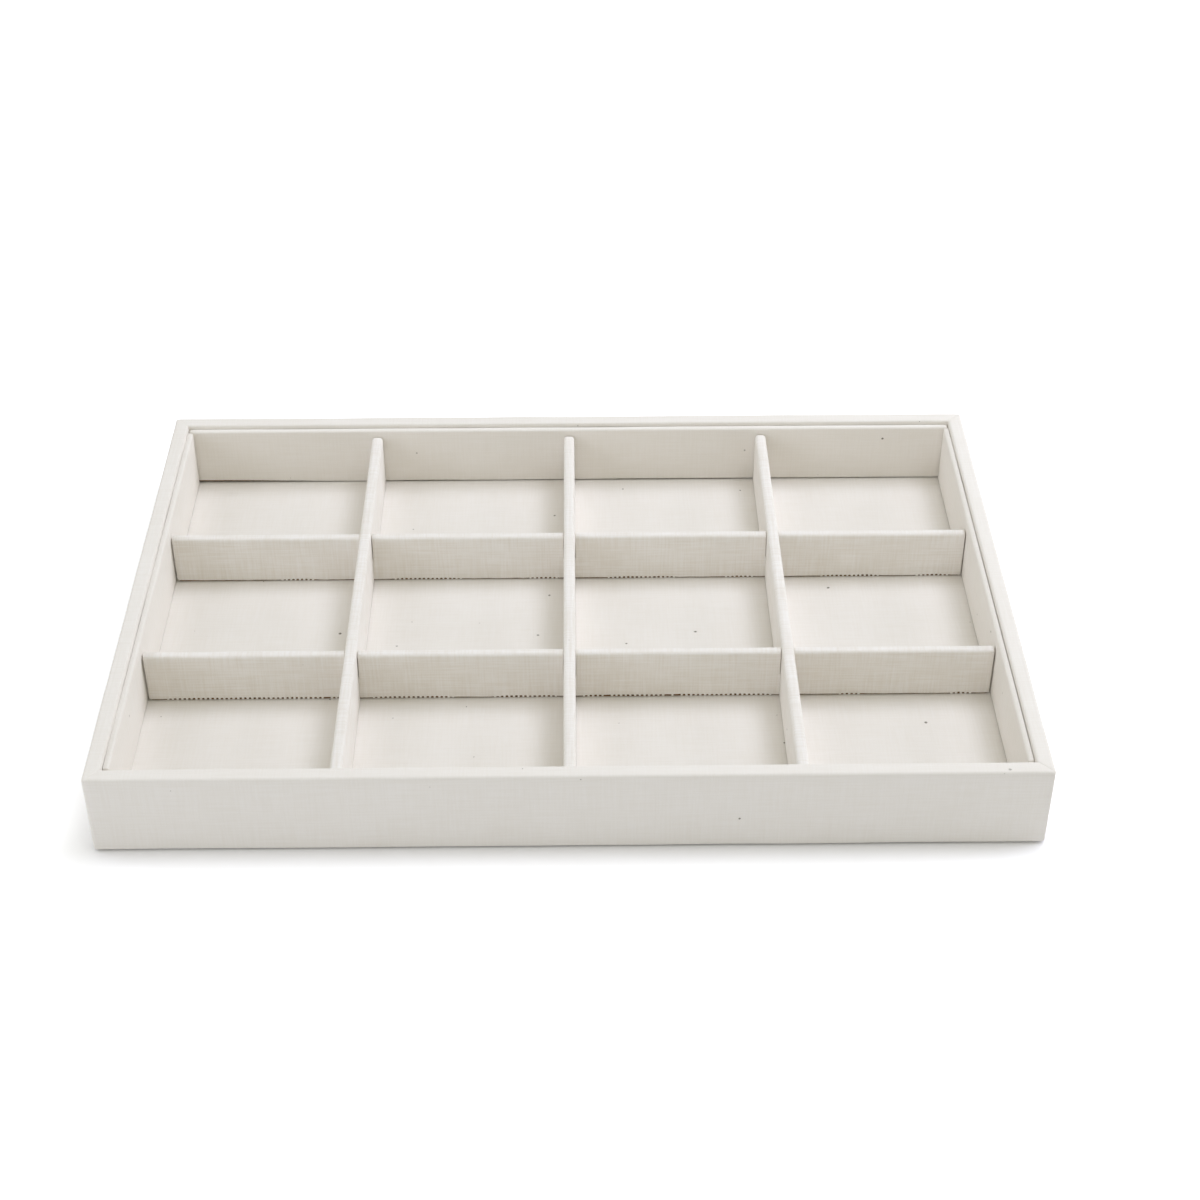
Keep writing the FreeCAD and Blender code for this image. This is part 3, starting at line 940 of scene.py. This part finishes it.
# White added to the table as it is seen: near the tray, where ambient occlusion fades it into a painted
# contact shadow, and far away.
TABLE_LIFT = 0.42
PAINTED_SHADOW_REACH = 14 * MM
PAINTED_SHADOW_AO_RANGE = (0.52, 0.93)
PAINTED_SHADOW_SAMPLES = 4
FAR_LIFT = 0.58
FAR_REACH = (0.5, 1.5)
# Camera: its height and side angles, the point it looks at and how far off that is, and its focal length.
CAMERA_ELEVATION = math.radians(37.345)
CAMERA_AZIMUTH = math.radians(-0.72)
CAMERA_TARGET = Vector((12.786 * MM, 30.028 * MM, 0))
CAMERA_DISTANCE = 913.207 * MM
FOCAL_PIXELS = 2155.425
PICTURE_PIXELS = 1200
SENSOR_WIDTH = 36


def seen_rays(tree):
    """One for rays that show the white surroundings: straight from the camera, mirrored or through."""
    path = add_node(tree, "ShaderNodeLightPath")
    mirrored = sum_node(tree, "MAXIMUM", path.outputs["Is Glossy Ray"], path.outputs["Is Transmission Ray"])
    return sum_node(tree, "MAXIMUM", path.outputs["Is Camera Ray"], mirrored)


def make_table():
    """White table that takes the lamps' shadows, with a painted contact shadow where its seen glow fades near
    the tray.
    """
    lay_tools_down()
    bpy.ops.mesh.primitive_plane_add(size=TABLE_SIZE, location=(0, 0, -TABLE_DROP))
    table = bpy.context.active_object
    table.name = "white_table"
    material = bpy.data.materials.new("white_table")
    material.use_nodes = True
    tree = material.node_tree
    tree.nodes.clear()
    out = add_node(tree, "ShaderNodeOutputMaterial")
    matt = add_node(tree, "ShaderNodeBsdfDiffuse")
    matt.inputs["Color"].default_value = TABLE_COLOUR
    glow = add_node(tree, "ShaderNodeEmission")
    both = add_node(tree, "ShaderNodeAddShader")
    # Painted shadow: ambient occlusion fades the table's seen glow close to the tray.
    contact = add_node(tree, "ShaderNodeAmbientOcclusion", "contact shadow", samples=PAINTED_SHADOW_SAMPLES)
    contact.inputs["Distance"].default_value = PAINTED_SHADOW_REACH
    glow_with_painted_shadow = spread(tree, contact.outputs["AO"], *PAINTED_SHADOW_AO_RANGE, 0.0, TABLE_LIFT)
    away = add_node(tree, "ShaderNodeVectorMath", "distance from the tray", operation="LENGTH")
    tree.links.new(add_node(tree, "ShaderNodeTexCoord").outputs["Object"], away.inputs[0])
    far_lift = spread(tree, away.outputs["Value"], *FAR_REACH, 0.0, FAR_LIFT)
    lift = sum_node(tree, "ADD", glow_with_painted_shadow, far_lift)
    tree.links.new(sum_node(tree, "MULTIPLY", seen_rays(tree), lift), glow.inputs["Strength"])
    tree.links.new(matt.outputs[0], both.inputs[0])
    tree.links.new(glow.outputs[0], both.inputs[1])
    tree.links.new(both.outputs[0], out.inputs["Surface"])
    table.data.materials.append(material)


def make_sky():
    """Even, slightly warm sky, seen as plain white."""
    world = bpy.data.worlds.new("white_studio")
    bpy.context.scene.world = world
    world.use_nodes = True
    tree = world.node_tree
    sky = tree.nodes["Background"]
    seen = seen_rays(tree)
    tree.links.new(blend_colours(tree, seen, SKY_COLOUR, WHITE), sky.inputs["Color"])
    tree.links.new(sum_node(tree, "MULTIPLY_ADD", seen, 1 - SKY, SKY), sky.inputs["Strength"])


def make_softbox(name, place, size, watts):
    """Soft rectangular lamp that faces the tray."""
    lamp = bpy.data.lights.new(name, "AREA")
    lamp.shape = "RECTANGLE"
    lamp.size, lamp.size_y = size
    lamp.energy = watts
    lamp.color = DAYLIGHT
    box = bpy.data.objects.new(name, lamp)
    box.location = place
    box.rotation_euler = (-place).to_track_quat("-Z", "Y").to_euler()
    bpy.context.scene.collection.objects.link(box)


def make_camera():
    """Camera in front, looking down at the photographed angle."""
    level = math.cos(CAMERA_ELEVATION)
    back = Vector((math.sin(CAMERA_AZIMUTH) * level, -math.cos(CAMERA_AZIMUTH) * level,
                   math.sin(CAMERA_ELEVATION)))
    lens = bpy.data.cameras.new("camera")
    lens.sensor_width = SENSOR_WIDTH
    lens.lens = FOCAL_PIXELS / PICTURE_PIXELS * SENSOR_WIDTH
    camera = bpy.data.objects.new("camera", lens)
    camera.location = CAMERA_TARGET + back * CAMERA_DISTANCE
    camera.rotation_euler = (-back).to_track_quat("-Z", "Y").to_euler()
    bpy.context.scene.collection.objects.link(camera)
    bpy.context.scene.camera = camera


make_table()
make_sky()
for softbox in SOFTBOXES:
    make_softbox(*softbox)
make_camera()
bpy.context.scene.view_settings.view_transform = "Standard"
